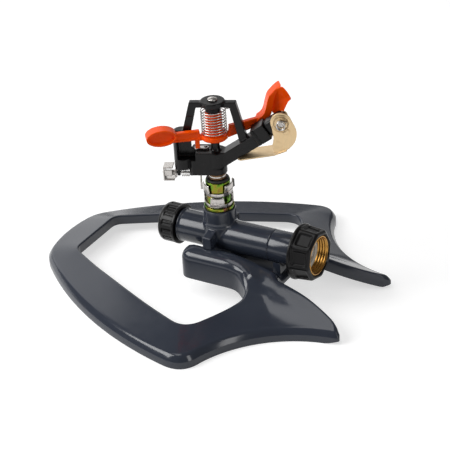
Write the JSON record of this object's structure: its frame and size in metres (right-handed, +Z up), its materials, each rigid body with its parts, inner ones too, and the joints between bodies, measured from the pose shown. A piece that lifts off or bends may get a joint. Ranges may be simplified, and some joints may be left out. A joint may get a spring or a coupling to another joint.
{
  "type": "impulse sprinkler",
  "caption": "Impulse sprinkler on a flat sled base, with a swinging impact arm, tilting deflector, trip collars, swivel hose coupling and end cap",
  "frame": {"origin": "centre of the bounding box on the ground plane", "axes": "+X along the hose line toward the inlet, +Y to the far side, +Z up"},
  "size_m": [0.2676, 0.2434, 0.1602],
  "materials": {
    "slate_plastic": "glossy moulded plastic",
    "black_plastic": "satin moulded plastic",
    "orange_plastic": "glossy moulded plastic",
    "gold_plated_steel": "stamped and yellow plated",
    "bright_steel": "bright plated steel",
    "zinc_chromate": "green and yellow passivated plating",
    "bronze": "turned bronze",
    "brass": "turned brass",
    "black_rubber": "matt rubber",
    "white_nylon": "satin nylon"
  },
  "bodies": {
    "base": {"sled_base": "slate_plastic", "manifold": "slate_plastic", "base_screw_near": "bright_steel", "base_screw_far": "bright_steel", "inlet_tailpiece": "slate_plastic", "hose_washer": "white_nylon", "filter_screen": "bright_steel", "bearing_nipple": "zinc_chromate", "seat_washer": "black_rubber", "dust_seal": "black_rubber"},
    "coupling": {"coupling_nut": "black_plastic", "coupling_insert": "brass"},
    "gasket": {"cap_gasket": "black_rubber"},
    "cap": {"end_cap": "black_plastic"},
    "collar_lower": {"trip_collar_lower": "bright_steel"},
    "collar_upper": {"trip_collar_upper": "bright_steel"},
    "head": {"sprinkler_body": "black_plastic", "nozzle_tip": "black_plastic", "fulcrum_pin": "bright_steel", "arm_spring": "bright_steel", "deflector_stud_near": "bright_steel", "deflector_stud_far": "bright_steel", "bearing_tube": "bronze", "thrust_washer_1": "bronze", "thrust_washer_2": "bright_steel", "thrust_washer_3": "bronze", "trip_spring": "bright_steel"},
    "arm": {"impact_arm": "orange_plastic"},
    "deflector": {"deflector_flap": "gold_plated_steel", "deflector_spring": "bright_steel"},
    "trip": {"trip_lever": "bright_steel", "trip_wire": "bright_steel"},
    "dog": {"trip_dog": "bright_steel"}
  },
  "joints": [
    {"name": "head_swivel", "type": "hinge", "parent": "base", "child": "head", "pos_m": [0.01315, 0, 0.09], "axis": [0, 0, 1], "range_deg": [-10, 190]},
    {"name": "arm_swing", "type": "hinge", "parent": "head", "child": "arm", "pos_m": [0.01315, 0, 0.125], "axis": [0, 0, 1], "range_deg": [0, 120], "stiffness_Nm_per_rad": 0.006, "springref_deg": -20.05},
    {"name": "deflector_tilt", "type": "hinge", "parent": "head", "child": "deflector", "pos_m": [0.05947, 0.01966, 0.13728], "axis": [0.3907, -0.9205, 0], "range_deg": [0, 100]},
    {"name": "trip_rock", "type": "hinge", "parent": "head", "child": "trip", "pos_m": [-0.02367, -0.01563, 0.0936], "axis": [0.9205, 0.3907, 0], "range_deg": [0, 12]},
    {"name": "dog_turn", "type": "hinge", "parent": "head", "child": "dog", "pos_m": [0.00671, -0.00274, 0.1132], "axis": [0, 0, 1], "range_deg": [0, 15]},
    {"name": "collar_upper_turn", "type": "hinge", "parent": "base", "child": "collar_upper", "pos_m": [0.01315, 0, 0.083], "axis": [0, 0, 1], "range_deg": [-185, 60]},
    {"name": "collar_lower_turn", "type": "hinge", "parent": "base", "child": "collar_lower", "pos_m": [0.01315, 0, 0.073], "axis": [0, 0, 1], "range_deg": [-60, 40]},
    {"name": "coupling_swivel", "type": "hinge", "parent": "base", "child": "coupling", "pos_m": [0.07975, 0, 0.0417], "axis": [1, 0, 0], "continuous": true},
    {"name": "cap_travel", "type": "slide", "parent": "base", "child": "gasket", "axis": [-1, 0, 0], "range_m": [0, 0.0045]},
    {"name": "cap_turn", "type": "hinge", "parent": "gasket", "child": "cap", "pos_m": [-0.03505, 0, 0.0417], "axis": [1, 0, 0], "range_deg": [0, 900]}
  ],
  "couplings": [
    {"joint": "dog_turn", "follows": "trip_rock", "ratio": 1.25},
    {"joint": "cap_travel", "follows": "cap_turn", "m_per_rad": 0.000286}
  ]
}
